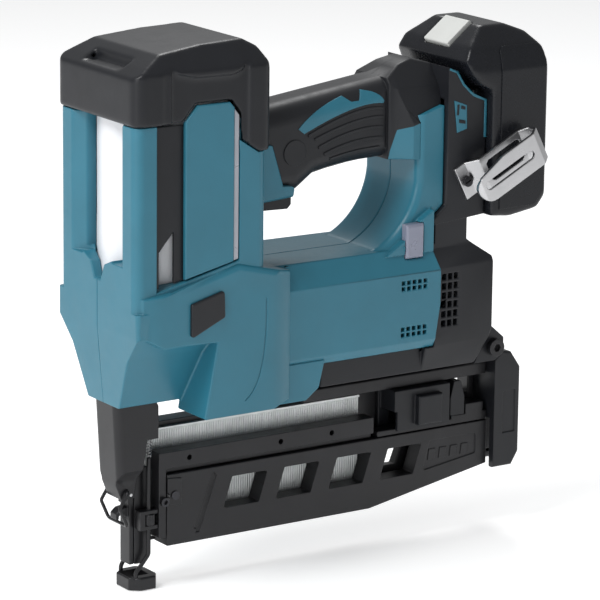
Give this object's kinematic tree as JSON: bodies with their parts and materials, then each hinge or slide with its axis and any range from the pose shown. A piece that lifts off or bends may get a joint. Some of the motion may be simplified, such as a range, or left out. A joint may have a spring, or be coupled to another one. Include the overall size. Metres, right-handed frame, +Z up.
{
  "type": "brad nailer",
  "caption": "Cordless gas-spring brad nailer with a sliding side magazine, contact nose, soft-grip handle, belt hook and slide-on battery.",
  "frame": {"origin": "on the driver's axis, in the plane of the contact foot's bottom face", "axes": "+Z up along the driver's axis, +X from the nose to the battery, -Y the tool's left side"},
  "size_m": [0.288, 0.1001, 0.3195],
  "materials": {
    "teal_plastic": "satin moulded plastic",
    "black_plastic": "fine-grained moulded plastic",
    "soft_grip": "matte elastomer",
    "black_metal": "black satin coating",
    "black_alloy": "black anodised",
    "bare_alloy": "as cast and machined",
    "steel": "bright plated",
    "spring_steel": "drawn wire",
    "nail_steel": "galvanised, glued strip",
    "screw_steel": "black zinc",
    "silver_trim": "silver paint",
    "white_tank": "white satin paint",
    "lens": "frosted",
    "battery_plastic": "satin moulded plastic",
    "button_plastic": "pale grey moulded plastic",
    "cell_wrap": "shrink wrap",
    "motor_iron": "laminated",
    "fan_plastic": "moulded",
    "seal_rubber": "smooth",
    "circuit_board": "solder mask",
    "switch_plastic": "moulded"
  },
  "bodies": {
    "body": {"housing_left": "teal_plastic", "housing_right": "teal_plastic", "grip_covers": "soft_grip", "rear_housing_left": "black_plastic", "rear_housing_right": "black_plastic", "magazine_hangers": "black_plastic", "magazine_bolt": "black_metal", "top_cap": "black_plastic", "side_liners": "black_plastic", "side_panels": "teal_plastic", "trim_strips": "silver_trim", "bumper_pads": "soft_grip", "light_lens": "lens", "pressure_tank": "white_tank", "tank_base": "bare_alloy", "cylinder_sleeve": "bare_alloy", "bumper": "soft_grip", "motor_stator": "motor_iron", "motor_bearings": "steel", "motor_carrier": "black_plastic", "gearbox_case": "bare_alloy", "ring_gear": "steel", "controller_board": "circuit_board", "trigger_pin": "steel", "trigger_switch": "switch_plastic", "trigger_spring": "spring_steel", "terminal_block": "black_plastic", "belt_hook": "steel", "nose_body": "black_metal", "cover_pin": "steel", "contact_springs": "spring_steel", "magazine_body": "black_alloy", "magazine_rail": "black_alloy", "magazine_top": "black_alloy", "nail_strip": "nail_steel", "magazine_catch": "black_plastic", "magazine_end_cap": "black_plastic", "screws": "screw_steel"},
    "driver": {"piston": "steel", "piston_seal": "seal_rubber", "driver_blade": "steel"},
    "rotor": {"motor_rotor": "motor_iron", "motor_shaft": "steel", "cooling_fan": "fan_plastic", "sun_gear": "steel"},
    "lifter": {"planet_carrier": "steel", "planet_gears": "steel", "lifter_wheel": "steel"},
    "trigger": {"trigger": "black_plastic"},
    "contact_element": {"contact_foot": "black_metal", "contact_rods": "black_metal"},
    "depth_dial": {"depth_dial": "black_metal"},
    "nose_cover": {"nose_cover": "black_metal"},
    "latch_bail": {"latch_bail": "black_metal"},
    "pusher": {"pusher": "black_plastic"},
    "magazine_door": {"magazine_door": "black_alloy"},
    "battery": {"battery_case": "battery_plastic", "battery_cells": "cell_wrap"},
    "battery_button": {"battery_button": "button_plastic"}
  },
  "joints": [
    {"name": "driver_slide", "type": "slide", "parent": "body", "child": "driver", "axis": [0, 0, -1], "range_m": [0, 0.088]},
    {"name": "motor_spin", "type": "hinge", "parent": "body", "child": "rotor", "pos_m": [0.09, 0.012, 0.148], "axis": [1, 0, 0], "continuous": true},
    {"name": "lifter_spin", "type": "hinge", "parent": "body", "child": "lifter", "pos_m": [0.02, 0.012, 0.148], "axis": [1, 0, 0], "continuous": true},
    {"name": "trigger_pull", "type": "hinge", "parent": "body", "child": "trigger", "pos_m": [0.071, 0, 0.2255], "axis": [0, -1, 0], "range_deg": [0, 7], "stiffness_Nm_per_rad": 0.4, "springref_deg": -6.88, "deforming": ["trigger_spring"]},
    {"name": "contact_slide", "type": "slide", "parent": "body", "child": "contact_element", "axis": [0, 0, 1], "range_m": [0, 0.01], "stiffness_N_per_m": 600, "springref_m": -0.004, "deforming": ["contact_springs"]},
    {"name": "depth_dial_turn", "type": "hinge", "parent": "contact_element", "child": "depth_dial", "pos_m": [0.0032, -0.0096, 0.0417], "axis": [0, 0, 1], "range_deg": [-180, 180]},
    {"name": "nose_cover_swing", "type": "hinge", "parent": "body", "child": "nose_cover", "pos_m": [-0.0074, 0, 0.057], "axis": [0, 1, 0], "range_deg": [0, 40]},
    {"name": "latch_swing", "type": "hinge", "parent": "body", "child": "latch_bail", "pos_m": [-0.0105, 0, 0.06], "axis": [0, 1, 0], "range_deg": [0, 56]},
    {"name": "pusher_slide", "type": "slide", "parent": "body", "child": "pusher", "axis": [-1, 0, 0], "range_m": [0, 0.0125]},
    {"name": "magazine_door_slide", "type": "slide", "parent": "body", "child": "magazine_door", "axis": [1, 0, 0], "range_m": [0, 0.12]},
    {"name": "battery_slide", "type": "slide", "parent": "body", "child": "battery", "axis": [0, 0, 1], "range_m": [0, 0.078]},
    {"name": "battery_button_press", "type": "slide", "parent": "battery", "child": "battery_button", "axis": [0.6157, 0, -0.788], "range_m": [0, 0.002], "stiffness_N_per_m": 1200, "springref_m": -0.001}
  ],
  "couplings": [
    {"joint": "lifter_spin", "follows": "motor_spin", "ratio": 0.22222},
    {"joint": "latch_swing", "follows": "nose_cover_swing", "ratio": 1.4}
  ]
}
